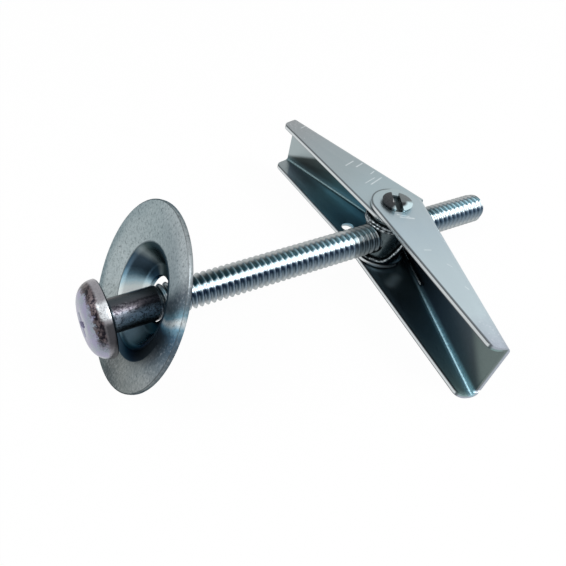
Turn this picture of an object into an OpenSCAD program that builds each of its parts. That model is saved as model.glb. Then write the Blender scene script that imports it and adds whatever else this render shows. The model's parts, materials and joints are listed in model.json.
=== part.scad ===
// Spring toggle bolt: a mushroom-head bolt, a cup washer, and two folded wings that turn on the
// trunnions of a nut and are pushed open by a torsion spring.
//
// Every piece is drawn in the bolt's own frame: the bolt lies along X, its head's underside is at
// X = 0, and the trunnions of the nut lie along Z. lay_down() then turns the whole assembly to
// the pose in which it rests on a level surface.

/* [Bolt] */
// Outer diameter of the thread
bolt_d = 6.35; // [5:0.05:7]
// Length from the underside of the head to the tip
bolt_len = 88.9; // [80:0.1:120]
// Length of the plain shank next to the head
shank_len = 9.8; // [4:0.1:20]
// Pitch of the thread: 20 turns to the inch
thread_pitch = 1.27; // [1:0.01:1.6]
// Depth of the thread, from crest to root
thread_depth = 0.78; // [0.5:0.01:0.9]
// Chamfer at the tip of the bolt
tip_chamfer = 1; // [0.2:0.1:2]
// Largest diameter of the head
head_d = 14.2; // [11:0.1:16]
// Height of the head
head_h = 4.1; // [2.8:0.1:5]
// Height of the straight edge of the head, above its underside
head_edge_h = 0.7; // [0.3:0.1:1.5]
// Diameter of the flat middle of the head
head_flat_d = 6; // [5:0.1:8]
// Radius of the fillet between head and shank
head_fillet = 0.9; // [0.2:0.1:1.5]
// Width of each arm of the cross recess
recess_w = 1.1; // [0.6:0.1:1.6]
// Span of the cross recess from arm end to arm end
recess_span = 4.4; // [3:0.1:5]
// Depth of the cross recess
recess_depth = 1.9; // [0.8:0.1:2.2]

/* [Cup washer] */
// Outer diameter of the washer
washer_d = 34.4; // [26:0.1:40]
// Thickness of the washer's sheet
washer_t = 0.95; // [0.6:0.05:1.4]
// Depth by which the ring slopes from its rim to the cup's mouth
ring_dish = 1.1; // [0:0.1:1.5]
// Width of the ring's flat outer band, outside the dish
ring_flat_w = 3.2; // [2:0.1:5]
// Diameter at which the ring starts to bend into the cup
cup_mouth_d = 19.3; // [17.5:0.1:22]
// Depth from the rim to the cup's bottom
cup_depth = 4.4; // [3.5:0.1:5.5]
// Slope of the cup's wall, measured from the rim's plane
cup_slope = 52; // [45:1:75]
// Bend radius at the cup's mouth, to the middle of the sheet
cup_mouth_bend = 1.0; // [0.8:0.1:2]
// Bend radius at the cup's bottom, to the middle of the sheet
cup_floor_bend = 1.2; // [0.8:0.1:1.6]
// Diameter of the hole that the bolt passes through
washer_hole_d = 8.4; // [8.2:0.1:9.6]
// Rounding of the washer's outer edge and of its hole's edge
washer_edge_r = 0.25; // [0.1:0.05:0.28]
// Distance from the head's underside to the centre of the hole
washer_at = 10.3; // [7.5:0.1:14]
// Lean of the washer: its lower edge swings towards the head
washer_lean = 26.2; // [20:0.1:30]
// Turn of the washer about the trunnion direction
washer_turn = -7.5; // [-9:0.1:8]
// Direction in which the hole's centre stands off the bolt, measured round the bolt from above
washer_side = 30; // [0:1:90]

/* [Trunnion nut] */
// Distance from the head's underside to the trunnion axis
pivot_at = 62.1; // [53:0.1:64]
// Diameter of the nut's barrel
barrel_d = 9.1; // [8.6:0.05:9.1]
// Diameter of the trunnions
trunnion_d = 5.6; // [4:0.05:6]
// Height by which the upper trunnion's staked end stands out of the outer ear
stake_h = 0.65; // [0.3:0.05:1]
// Diameter of the upper trunnion's staked end
stake_d = 6.1; // [5.9:0.05:6.6]
// Depth by which the lower trunnion ends inside the outer ear
lower_recess = 0.1; // [0.05:0.05:0.5]
// Width of the chisel slot in the trunnions' ends
stake_slot_w = 1.5; // [0.6:0.1:2]
// Depth of the chisel slot in the trunnions' ends
stake_slot_depth = 1.2; // [0.4:0.1:1.6]
// Direction of the chisel slots, measured from the bolt
stake_slot_angle = 60; // [0:1:180]

/* [Wings] */
// Thickness of the wings' sheet
wing_t = 0.95; // [0.8:0.05:1]
// Outside radius of the folds
fold_r = 1.5; // [1.2:0.1:1.8]
// Radius of a flange's outer corner at the tip
tip_corner_r = 1.8; // [0.8:0.1:2]
// Length of the left wing, from the trunnion axis
left_len = 37; // [32:0.1:42]
// Distance from the trunnion axis to the back of the left wing's web
left_web = 8.6; // [8.4:0.1:10]
// Depth of the left wing's flanges at the tip
left_tip_depth = 4.9; // [4:0.1:7]
// Radius of the left wing's ears, which turn inside the right wing's folds
left_ear_r = 5.25; // [5:0.05:5.3]
// Distance by which the left wing's web runs past the trunnion axis
left_reach = 1.3; // [0.5:0.1:1.6]
// Sweep of the left wing towards the head when it stands open
left_sweep = 12; // [10:0.1:18]
// Length of the right wing, from the trunnion axis
right_len = 37.1; // [32:0.1:42]
// Distance from the trunnion axis to the back of the right wing's web
right_web = 6.55; // [6.55:0.05:7.2]
// Depth of the right wing's flanges at the tip
right_tip_depth = 3.4; // [3:0.1:6]
// Radius of the right wing's ears
right_ear_r = 5.1; // [4.6:0.1:5.5]
// Distance by which the right wing's web runs past the trunnion axis
right_reach = 2; // [0.5:0.1:2.2]
// Sweep of the right wing towards the head when it stands open
right_sweep = 21.1; // [18:0.1:26]
// Diameter of the hole in the left wing's lower flange
sight_hole_d = 2.7; // [1:0.1:3]
// Distance of that hole from the trunnion axis, along the wing
sight_hole_along = 9.1; // [6:0.1:12]
// Distance of that hole from the trunnion axis, across the wing, towards its free edge
sight_hole_across = 0; // [0:0.1:1.8]
// Relief notch at the end of the right wing's lower fold
relief_notch_d = 0.9; // [0.4:0.1:1.2]

/* [Spring] */
// Diameter of the spring's wire
wire_d = 0.7; // [0.5:0.05:0.7]
// Turns of the coil on the upper side of the bolt, in whole turns
upper_turns = 2; // [1:1:2]
// Distance from the trunnion axis to the ends of the legs, along the wings
leg_reach = 12; // [9:0.5:20]

/* [Fits] */
// Radial clearance between the thread and the nut's bore
thread_clearance = 0.05; // [0.02:0.01:0.1]
// Radial clearance between the trunnions and the ears
trunnion_clearance = 0.05; // [0.02:0.01:0.1]
// Clearance between faces that slide past each other along the trunnions
side_clearance = 0.1; // [0.05:0.01:0.15]
// Room between the coil's upper turns and the left wing's ear
upper_room = 0.525; // [0.4:0.025:0.8]
// Room between the coil's lower turn and the left wing's ear
lower_room = 0.35; // [0.3:0.025:0.8]
// Clearance between the coil and the barrel
coil_clearance = 0.1; // [0.05:0.01:0.1]
// Clearance between the wire and what it lies next to
wire_clearance = 0.08; // [0.04:0.01:0.1]
// Clearance between neighbouring turns of the coil
turn_clearance = 0.02; // [0.01:0.01:0.03]
// Clearance between the washer's hole and the shank that lies in it
washer_clearance = 0.1; // [0.05:0.01:0.2]
// Clearance round the bolt in the notches of the webs
notch_clearance = 0.9; // [0.4:0.1:1.2]

/* [Hidden] */
$fn = 96;
zinc = "#a9b4ba";
dark_zinc = "#6f7a80";
bolt_r = bolt_d / 2;
washer_r = washer_d / 2;
hole_r = washer_hole_d / 2;
barrel_r = barrel_d / 2;
trunnion_r = trunnion_d / 2;
wire_r = wire_d / 2;
overcut = 1;

// Heights of the wires above and below the bolt; the last turn runs on for a part of a turn
coil_gap = bolt_r + wire_r + wire_clearance;
turn_pitch = wire_d + turn_clearance;
last_turn = 0.25;
coil_top = coil_gap + turn_pitch * (upper_turns + last_turn) + wire_r;
coil_bottom = -coil_gap - wire_r;

// Heights of the faces along the trunnions: the coil and the bolt need room inside the left wing,
// and the right wing lies outside it
nesting = wing_t + side_clearance;
left_top = coil_top + upper_room + wing_t;
left_bottom = coil_bottom - lower_room - wing_t;
right_top = left_top + nesting;
right_bottom = left_bottom - nesting;
barrel_top = left_top - nesting;
barrel_bottom = left_bottom + nesting;

// Radius of the coil's middle line
coil_r = barrel_r + coil_clearance + wire_r;
coil_steps = 24;
wire_sides = 8;
// The wire crosses from the lower to the upper side beside the bolt, between these directions
cross_from = 232;
cross_to = 308;

// ---- Small vector helpers -------------------------------------------------------------------

function unit(v) = v / norm(v);
function polar(r, a) = [r * cos(a), r * sin(a)];
// Angle at which a straight line from point q meets a circle round the origin as a tangent
function tangent_angle(q, r) = atan2(q[1], q[0]) - acos(r / norm(q));
// Turn about Y by b and about Z by c, in the order that rotate([0, b, c']) of the washer uses
function turn_z(v, c) = [v[0] * cos(c) - v[1] * sin(c), v[0] * sin(c) + v[1] * cos(c), v[2]];
function turn_y(v, b) = [v[0] * cos(b) + v[2] * sin(b), v[1], -v[0] * sin(b) + v[2] * cos(b)];
function turn_x(v, a) = [v[0], v[1] * cos(a) - v[2] * sin(a), v[1] * sin(a) + v[2] * cos(a)];

// ---- The washer's place on the bolt ---------------------------------------------------------

washer_axis = turn_y(turn_z([1, 0, 0], washer_turn), washer_lean);
washer_tilt = acos(washer_axis[0]);
// How far the hole's centre can stand off the bolt's axis before the hole's edge meets the bolt:
// across the lean, and along it, where the leaning sheet leaves less room
play_across = hole_r - bolt_r - washer_clearance;
play_along = hole_r * cos(washer_tilt) - washer_t * sin(washer_tilt) / 2 - bolt_r
    - washer_clearance;
hole_centre = [washer_at, play_across * sin(washer_side), play_along * cos(washer_side)];
ring_centre = hole_centre - washer_axis * cup_depth;
// Distance from the middle of the washer's sheet to the centres of its rounded corners
edge_inset = washer_t / 2 - washer_edge_r;

// ---- The pose at rest -----------------------------------------------------------------------

// A wing's local point: u runs along the wing, v across it towards the bolt's tip, z along the
// trunnions; hand is 1 for the left wing and -1 for the right one
function wing_point(u, v, z, sweep, hand) = [
    pivot_at - u * sin(sweep) + v * cos(sweep),
    hand * (u * cos(sweep) + v * sin(sweep)),
    z
];
// Lowest point of a circle, where up is the direction that points away from the floor
function low_point(centre, axis, r, up) = centre - r * unit(up - (up * axis) * axis);
function low_washer(up) = low_point(ring_centre + washer_axis * edge_inset, washer_axis,
    washer_r - washer_edge_r, up) - washer_edge_r * up;
// Points near the bolt's axis that may touch the floor: its tip, the lower ear and the apex
function low_middle(up) = [
    low_point([bolt_len - tip_chamfer, 0, 0], [1, 0, 0], bolt_r, up),
    low_point([pivot_at, 0, right_bottom], [0, 0, 1], right_ear_r, up),
    wing_point(-right_reach, right_web - fold_r, right_bottom, right_sweep, -1)
];
// The point of the right wing's tip that touches the floor
function low_tip(up) = wing_point(right_len - tip_corner_r, right_web - right_tip_depth,
    right_bottom, right_sweep, -1);
// Slope along the bolt at which the floor passes through the washer's rim and point m
function slope_to(w, m, roll) = (m[2] - w[2] + roll * (m[1] - w[1])) / (m[0] - w[0]);
function slope_of(up, roll) = min([for (m = low_middle(up)) slope_to(low_washer(up), m, roll)]);
function roll_of(w, b, slope) = (w[2] + slope * (b[0] - w[0]) - b[2]) / (b[1] - w[1]);
function next_up(up, slope) = unit([-slope, roll_of(low_washer(up), low_tip(up), slope), 1]);
// Repeats the step until the three contacts agree
function rest_up(up, n) = n == 0 ? up : rest_up(next_up(up, slope_of(up, up[1] / up[2])), n - 1);

up_at_rest = rest_up([0, 0, 1], 12);
rest_roll = atan2(up_at_rest[1], up_at_rest[2]);
rest_pitch = -asin(up_at_rest[0]);
rest_height = -low_washer(up_at_rest) * up_at_rest;

// A point of the bolt's frame after the two turns that lay the assembly down
function laid(p) = turn_y(turn_x(p, rest_roll), rest_pitch);
// Ends of the assembly along X and along Y, so that it lies centred over the origin
head_end = laid([-head_h, 0, -head_flat_d / 2])[0];
tip_end = laid([bolt_len, 0, bolt_r - tip_chamfer])[0];
left_end = laid(wing_point(left_len, left_web, left_bottom + fold_r, left_sweep, 1))[1];
right_end = laid(wing_point(right_len, right_web, right_top - fold_r, right_sweep, -1))[1];

module lay_down() {
    translate([-(head_end + tip_end) / 2, -(left_end + right_end) / 2, rest_height])
    rotate([rest_roll, rest_pitch, 0])
    children();
}

// Turns what is drawn round Z so that it runs along the bolt, from the head towards the tip
module along_bolt() {
    rotate([0, 90, 0])
    children();
}

// ---- Bolt -----------------------------------------------------------------------------------

dome_steps = 10;
// Outline of the head from its flat middle to its underside, as [radius, distance along the bolt]
head_outline = concat(
    [[0, -head_h]],
    [for (i = [0:dome_steps])
        let (a = 90 * i / dome_steps)
        [head_flat_d / 2 + (head_d - head_flat_d) / 2 * sin(a),
         -head_edge_h - (head_h - head_edge_h) * cos(a)]],
    [[head_d / 2, -head_edge_h / 3], [head_d / 2 - head_edge_h / 3, 0]]
);
fillet_steps = 6;
fillet_outline = [for (i = [0:fillet_steps])
    let (a = 90 * i / fillet_steps)
    [bolt_r + head_fillet * (1 - sin(a)), head_fillet * (1 - cos(a))]
];
// A core runs inside the thread, and a collar at the tip holds the thread's end
core_sunk = 0.1;
collar_proud = 0.05;
collar_turns = 2;
root_r = bolt_r - thread_depth;
core_r = root_r - core_sunk;
collar_r = root_r + collar_proud;
collar_len = collar_turns * thread_pitch;
end_r = bolt_r - tip_chamfer;
bolt_outline = concat(
    head_outline,
    fillet_outline,
    [[bolt_r, shank_len], [core_r, shank_len], [core_r, bolt_len - collar_len],
     [collar_r, bolt_len - collar_len], [collar_r, bolt_len - (collar_r - end_r)],
     [end_r, bolt_len], [0, bolt_len]]
);

module head_and_core() {
    difference() {
        along_bolt()
        rotate_extrude()
        polygon(bolt_outline);
        for (turn = [0, 90])
            translate([-head_h, 0, 0])
            rotate([turn + 45, 0, 0])
            cube([2 * recess_depth, recess_w, recess_span], center = true);
    }
}

// The thread's skin is a grid of columns round the bolt. A column's rows follow the profile of
// turn after turn, and each column stands a share of the pitch further along than the last one.
thread_sides = 16;
// One turn's profile, as [share of the pitch, share of the depth]: a flat root and a flat crest
thread_form = [[0, 0], [0.25, 0], [0.5625, 1], [0.6875, 1]];
form_rows = len(thread_form);
// Turns of the skin that lie hidden in the shank, and length of bare tip beyond the thread
hidden_turns = 1.5;
bare_tip = 0.35;
thread_start = shank_len - hidden_turns * thread_pitch;
thread_end = bolt_len - bare_tip;
thread_turns = floor((thread_end - thread_start) / thread_pitch - thread_form[form_rows - 1][0]);
thread_rows = thread_turns * form_rows;
// Share of the full depth at distance x: the thread fades in behind the shank and out at the tip
function thread_height(x) =
    max(0, min(1, (x - shank_len) / thread_pitch, (thread_end - x) / tip_chamfer));
function thread_point(k, i) =
    let (
        form = thread_form[i % form_rows],
        x = thread_start + thread_pitch * (floor(i / form_rows) + form[0] + k / thread_sides),
        r = root_r + thread_depth * form[1] * thread_height(x),
        a = 360 * k / thread_sides
    )
    [x, r * cos(a), r * sin(a)];

module thread() {
    last = thread_sides - 1;
    first_end = thread_sides * thread_rows;
    points = concat(
        [for (k = [0:last], i = [0:thread_rows - 1]) thread_point(k, i)],
        [[thread_start + thread_pitch / 2, 0, 0],
         [thread_start + thread_pitch * (thread_turns - 0.5), 0, 0]]
    );
    // Number of the point at row i of column k, where the column after the last one is the first
    // one again, a turn further along
    function at(k, i) = k > last ? i + form_rows : k * thread_rows + i;
    // Edges of the skin at both ends of the thread
    lower = concat([for (k = [0:last]) at(k, 0)], [for (i = [form_rows:-1:1]) i]);
    upper = concat(
        [for (k = [0:last]) at(k, thread_rows - 1)],
        [for (i = [2:form_rows + 1]) at(last, thread_rows - i)]
    );
    skin = [for (k = [0:last], i = [0:thread_rows - 2])
        if (k < last || i + form_rows + 1 < thread_rows)
            each [[at(k, i), at(k, i + 1), at(k + 1, i + 1)],
                  [at(k, i), at(k + 1, i + 1), at(k + 1, i)]]];
    function cap(edge, middle) = [for (i = [0:len(edge) - 1])
        [edge[i], edge[(i + 1) % len(edge)], middle]];
    polyhedron(points, concat(skin, cap(lower, first_end),
        [for (face = cap(upper, first_end + 1)) [face[1], face[0], face[2]]]));
}

module bolt() {
    color(zinc)
    lay_down()
    union() {
        head_and_core();
        thread();
    }
}

// ---- Washer ---------------------------------------------------------------------------------

bend_steps = 8;
bends_depth = (cup_mouth_bend + cup_floor_bend) * (1 - cos(cup_slope));
wall_len = (cup_depth - ring_dish - bends_depth) / sin(cup_slope);
mouth_r = cup_mouth_d / 2;
floor_r = mouth_r - (cup_mouth_bend + cup_floor_bend) * sin(cup_slope) - wall_len * cos(cup_slope);
// One face of the sheet, from the mouth to the hole; side is -1 for the face next to the head
function sheet_face(side) = concat(
    [for (i = [0:bend_steps])
        let (a = cup_slope * i / bend_steps)
        [mouth_r, ring_dish + cup_mouth_bend]
            - (cup_mouth_bend - side * washer_t / 2) * [sin(a), cos(a)]],
    [for (i = [bend_steps:-1:0])
        let (a = cup_slope * i / bend_steps)
        [floor_r, cup_depth - cup_floor_bend]
            + (cup_floor_bend + side * washer_t / 2) * [sin(a), cos(a)]]
);
edge_steps = 4;
// Rounded corner of the sheet's edge: q is its centre and from is where its quarter turn starts
function edge_round(q, from) = [for (i = [0:edge_steps])
    q + polar(washer_edge_r, from + 90 * i / edge_steps)
];
function reversed(list) = [for (i = [len(list) - 1:-1:0]) list[i]];
washer_outline = concat(
    edge_round([washer_r - washer_edge_r, edge_inset], 0),
    [[washer_r - ring_flat_w, washer_t / 2]],
    sheet_face(1),
    edge_round([hole_r + washer_edge_r, cup_depth + edge_inset], 90),
    edge_round([hole_r + washer_edge_r, cup_depth - edge_inset], 180),
    reversed(sheet_face(-1)),
    [[washer_r - ring_flat_w, -washer_t / 2]],
    edge_round([washer_r - washer_edge_r, -edge_inset], 270)
);

module washer() {
    color(zinc)
    lay_down()
    translate(ring_centre)
    rotate([0, washer_lean, 0])
    rotate([0, 0, washer_turn])
    along_bolt()
    rotate_extrude()
    polygon(washer_outline);
}

// ---- Trunnion nut ---------------------------------------------------------------------------

module stake_slot(z) {
    translate([0, 0, z])
    rotate([0, 0, stake_slot_angle])
    cube([stake_d + overcut, stake_slot_w, 2 * stake_slot_depth], center = true);
}

module trunnion_nut() {
    color(dark_zinc)
    lay_down()
    translate([pivot_at, 0, 0])
    difference() {
        union() {
            translate([0, 0, barrel_bottom])
            cylinder(h = barrel_top - barrel_bottom, r = barrel_r);
            translate([0, 0, right_bottom + lower_recess])
            cylinder(h = right_top - right_bottom + side_clearance - lower_recess, r = trunnion_r);
            translate([0, 0, right_top + side_clearance])
            cylinder(h = stake_h - side_clearance, d1 = trunnion_d, d2 = stake_d);
        }
        rotate([0, 90, 0])
        cylinder(h = 2 * barrel_d, r = bolt_r + thread_clearance, center = true);
        stake_slot(right_top + stake_h);
        stake_slot(right_bottom + lower_recess);
    }
}

// ---- Wings ----------------------------------------------------------------------------------

// Side view of a wing: a round ear about the trunnion, with a straight free edge that runs off it
// as a tangent to the rounded corner at the tip. The other end is square above the ear, which
// leaves room for the web of the other wing.
module wing_side(len, web, tip_depth, ear_r, reach) {
    tip = [len, web - tip_depth];
    ear_low = polar(ear_r, tangent_angle(tip, ear_r));
    ear_high = [-reach, sqrt(ear_r * ear_r - reach * reach)];
    rise = atan2(tip[1] - ear_low[1], tip[0] - ear_low[0]);
    corner = [len - tip_corner_r,
        tip[1] - tip_corner_r * tan(rise) + tip_corner_r / cos(rise)];
    circle(r = ear_r);
    translate(corner)
    circle(r = tip_corner_r);
    polygon([
        ear_low, corner - tip_corner_r * [-sin(rise), cos(rise)], corner, [len, corner[1]],
        [len, web], [-reach, web], ear_high, [0, 0]
    ]);
}

// Solid section across the wing, drawn with the web's back at the right and its corners rounded
module channel_section(web, bottom, top, r) {
    depth = 3 * web;
    translate([web - depth, bottom])
    square([depth - r, top - bottom]);
    translate([web - 2 * r, bottom + r])
    square([2 * r, top - bottom - 2 * r]);
    for (z = [bottom + r, top - r])
        translate([web - r, z])
        circle(r = r);
}

// Folded sheet along the wing, between the planes bottom and top
module channel(len, web, bottom, top) {
    rotate([90, 0, 90])
    translate([0, 0, -len])
    linear_extrude(2 * len + overcut)
    difference() {
        channel_section(web, bottom, top, fold_r);
        channel_section(web - wing_t, bottom + wing_t, top - wing_t, fold_r - wing_t);
        translate([-4 * web, bottom + wing_t])
        square([3 * web, top - bottom - 2 * wing_t]);
    }
}

module wing(len, web, tip_depth, ear_r, reach, sweep, bottom, top) {
    difference() {
        intersection() {
            channel(len, web, bottom, top);
            translate([0, 0, bottom - overcut])
            linear_extrude(top - bottom + 2 * overcut)
            wing_side(len, web, tip_depth, ear_r, reach);
        }
        translate([0, 0, bottom - 2 * overcut])
        cylinder(h = top - bottom + 4 * overcut, r = trunnion_r + trunnion_clearance);
        translate([-(web - wing_t / 2) * tan(sweep), 0, 0])
        rotate([-90, 0, 0])
        cylinder(h = web + overcut, r = bolt_r / cos(sweep) + notch_clearance);
    }
}

// Places a wing that is drawn along X on the trunnions; hand is 1 on the left and -1 on the right
module open_at(sweep, hand) {
    translate([pivot_at, 0, 0])
    mirror([0, hand > 0 ? 1 : 0, 0])
    rotate([0, 0, -90 - sweep])
    children();
}

module wing_left() {
    color(zinc)
    lay_down()
    open_at(left_sweep, 1)
    difference() {
        wing(left_len, left_web, left_tip_depth, left_ear_r, left_reach, left_sweep,
            left_bottom, left_top);
        translate([sight_hole_along, -sight_hole_across, left_bottom - overcut])
        cylinder(h = wing_t + 2 * overcut, d = sight_hole_d);
    }
}

module wing_right() {
    color(zinc)
    lay_down()
    open_at(right_sweep, -1)
    difference() {
        wing(right_len, right_web, right_tip_depth, right_ear_r, right_reach, right_sweep,
            right_bottom, right_top);
        translate([right_len, right_web - fold_r, right_bottom + fold_r + relief_notch_d / 2])
        rotate([-90, 0, 0])
        cylinder(h = 2 * fold_r, d = relief_notch_d);
    }
}

// ---- Spring ---------------------------------------------------------------------------------

// A leg runs off the coil as a tangent and ends against the inside of a wing's web. In the
// wing's own directions its end is at [leg_reach, leg_v], and leg_lean is its slope to the wing.
function leg_v(web) = web - wing_t - wire_r - wire_clearance;
function leg_lean(web) = atan2(leg_v(web), leg_reach)
    - asin(coil_r / norm([leg_reach, leg_v(web)]));
// Directions from the trunnion axis in which the wire leaves the coil
right_leave = -(right_sweep - leg_lean(right_web));
left_leave = left_sweep - leg_lean(left_web);
coil_end = left_leave + 360 * (upper_turns + 1);
coil_start_z = -coil_gap;
// Height of the wire's middle line at direction a: level below the bolt, rising above it
function smooth(k) = k * k * (3 - 2 * k);
function coil_z(a) =
    a < cross_from ? coil_start_z :
    a < cross_to ? coil_start_z
        + (coil_gap - coil_start_z) * smooth((a - cross_from) / (cross_to - cross_from)) :
    coil_gap + turn_pitch * (a - cross_to) / 360;
function coil_point(a) = [coil_r * cos(a), coil_r * sin(a), coil_z(a)];
function wing_end(web, sweep, hand, z) = wing_point(leg_reach, leg_v(web), z, sweep, hand)
    - [pivot_at, 0, 0];
coil_count = ceil((coil_end - right_leave) / 360 * coil_steps);
wire_path = concat(
    [wing_end(right_web, right_sweep, -1, coil_start_z)],
    [for (i = [0:coil_count]) coil_point(right_leave + (coil_end - right_leave) * i / coil_count)],
    [wing_end(left_web, left_sweep, 1, coil_z(coil_end))]
);

// Direction of the path at point i
function heading(path, i) = unit(path[min(i + 1, len(path) - 1)] - path[max(i - 1, 0)]);
// One ring of the wire's skin: side runs away from the trunnions' axis as far as the wire allows
function ring(path, i, r) =
    let (
        along = heading(path, i),
        side = unit(cross([0, 0, 1], along)),
        rise = cross(along, side)
    )
    [for (k = [0:wire_sides - 1])
        let (a = 360 * (k + 0.5) / wire_sides)
        path[i] + r * (cos(a) * side + sin(a) * rise)];

// Round wire along a path of points, closed at both ends
module wire(path, r) {
    rings = len(path);
    points = [for (i = [0:rings - 1]) each ring(path, i, r)];
    sides = [for (i = [0:rings - 2], k = [0:wire_sides - 1])
        let (a = i * wire_sides + k, b = i * wire_sides + (k + 1) % wire_sides)
        [a, a + wire_sides, b + wire_sides, b]];
    first = [for (k = [0:wire_sides - 1]) k];
    last = [for (k = [wire_sides - 1:-1:0]) (rings - 1) * wire_sides + k];
    polyhedron(points, concat([first], sides, [last]));
}

module spring() {
    color(dark_zinc)
    lay_down()
    translate([pivot_at, 0, 0])
    wire(wire_path, wire_r);
}

bolt();
washer();
trunnion_nut();
wing_left();
wing_right();
spring();
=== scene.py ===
# %% [markdown]
# # Spring toggle bolt
# A toggle bolt hangs things on a hollow wall: two folded wings slip through a hole, a spring opens
# them, and the bolt pulls them tight. The part comes in as a fixed frame, and its nodes stay where
# they are. This notebook adds what the frame leaves plain: zinc finishes, rounded sheet edges, a
# finer thread and a wound spring. Nothing here is measured twice: places come from the joints.

import json
import math

import bmesh
import bpy
from mathutils import Matrix, Vector


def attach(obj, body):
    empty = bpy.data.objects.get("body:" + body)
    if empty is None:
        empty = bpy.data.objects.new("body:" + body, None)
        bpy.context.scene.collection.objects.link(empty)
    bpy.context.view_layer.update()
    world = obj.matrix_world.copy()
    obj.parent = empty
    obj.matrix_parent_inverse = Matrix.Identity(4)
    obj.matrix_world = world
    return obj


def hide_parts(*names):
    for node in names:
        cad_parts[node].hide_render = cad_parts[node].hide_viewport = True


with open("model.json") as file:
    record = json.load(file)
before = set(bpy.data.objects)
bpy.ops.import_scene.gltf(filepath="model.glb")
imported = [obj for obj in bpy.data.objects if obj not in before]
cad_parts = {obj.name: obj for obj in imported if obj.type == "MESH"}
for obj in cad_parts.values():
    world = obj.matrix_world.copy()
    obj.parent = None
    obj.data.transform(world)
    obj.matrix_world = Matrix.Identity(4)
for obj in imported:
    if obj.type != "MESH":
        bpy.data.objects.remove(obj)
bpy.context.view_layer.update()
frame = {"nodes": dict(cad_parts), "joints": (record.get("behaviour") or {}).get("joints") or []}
print("nodes:", sorted(frame["nodes"]))

# %% [markdown]
# The bolt lies slightly nose-down, so the frame's X, Y and Z are awkward to think in. Every size
# below could be turned by hand, but it is easier to give it in the bolt's own directions: X from
# the head to the tip, Y towards the left wing, Z along the trunnions, in millimetres from the
# underside of the head. The joints say where those directions point, and one matrix does the rest.

# %% The bolt's own directions
MM = 0.001
PIVOT_X = 62.1  # trunnion axis, from the underside of the head

joints = {joint["name"]: joint for joint in frame["joints"]}
along = Vector(joints["nut_travel"]["axis"]).normalized()
trunnions = Vector(joints["wing_left_fold"]["axis"]).normalized()
across = trunnions.cross(along)
pivot = Vector(joints["wing_left_fold"]["pos_m"])
head = pivot - along * PIVOT_X * MM


def placed(x_axis, y_axis, z_axis, origin):
    """Matrix from millimetres along three directions to metres in the frame."""
    turned = Matrix((x_axis, y_axis, z_axis)).transposed().to_4x4()
    return Matrix.Translation(origin) @ turned @ Matrix.Scale(MM, 4)


BOLT = placed(along, across, trunnions, head)
print("bolt runs along", tuple(round(c, 3) for c in along))

# %% [markdown]
# Each wing is a channel folded from sheet, and it leans back towards the head by its sweep. A wing
# gets directions of its own for the same reason as the bolt: u runs out along the wing, v across it
# towards the bolt's tip, and z along the trunnions. The left and right wings mirror each other, so
# one function with a hand of 1 or -1 serves both.

# %% The wings' own directions
SHEET = 0.95
LEFT_SWEEP, RIGHT_SWEEP = math.radians(12), math.radians(21.1)


def wing_directions(hand, sweep):
    """hand is 1 for the left wing and -1 for the right one."""
    u = -along * math.sin(sweep) + across * hand * math.cos(sweep)
    v = along * math.cos(sweep) + across * hand * math.sin(sweep)
    return placed(u, v, trunnions, pivot)


LEFT_WING = wing_directions(1, LEFT_SWEEP)
RIGHT_WING = wing_directions(-1, RIGHT_SWEEP)
print("wings lean back by", round(math.degrees(LEFT_SWEEP), 1), round(math.degrees(RIGHT_SWEEP), 1))

# %% [markdown]
# Node trees can be wired box by box, but a formula is easier to read. A Signal wraps one socket of
# a tree, and an expression on Signals adds the Math nodes that it needs. It carries single numbers
# only: a Math node would turn a colour grey, so colours go through Mix nodes further down.

# %% Formulas for node trees
class Signal:
    def __init__(self, tree, socket):
        self.tree = tree
        self.socket = socket

    def math(self, operation, *others):
        values = dict(enumerate((self, *others)))
        return self.tree.node("ShaderNodeMath", {"operation": operation}, values)

    def __add__(self, other):
        return self.math("ADD", other)

    __radd__ = __add__

    def __mul__(self, other):
        return self.math("MULTIPLY", other)

    __rmul__ = __mul__

    def __sub__(self, other):
        return self.math("SUBTRACT", other)

    def __rsub__(self, other):
        return (self * -1.0) + other

    def __truediv__(self, other):
        return self.math("DIVIDE", other)

    def clamp(self):
        return self.math("MINIMUM", 1.0).math("MAXIMUM", 0.0)

    def squared(self):
        return self * self


def distance(first, second):
    """Length of the hypotenuse over two signals."""
    return (first.squared() + second.squared()).math("SQRT")


print("signals: + - * / and any other Math operation by name")

# %% [markdown]
# Every node other than Math comes from one method, which takes the node's type, its settings and
# what goes into its sockets. Settings come first, because some of them change which sockets there
# are. The same class serves shader trees and geometry trees. The methods below it are the masks
# that the finishes lean on: a soft step, a band between two steps, and colours along a value.

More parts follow.
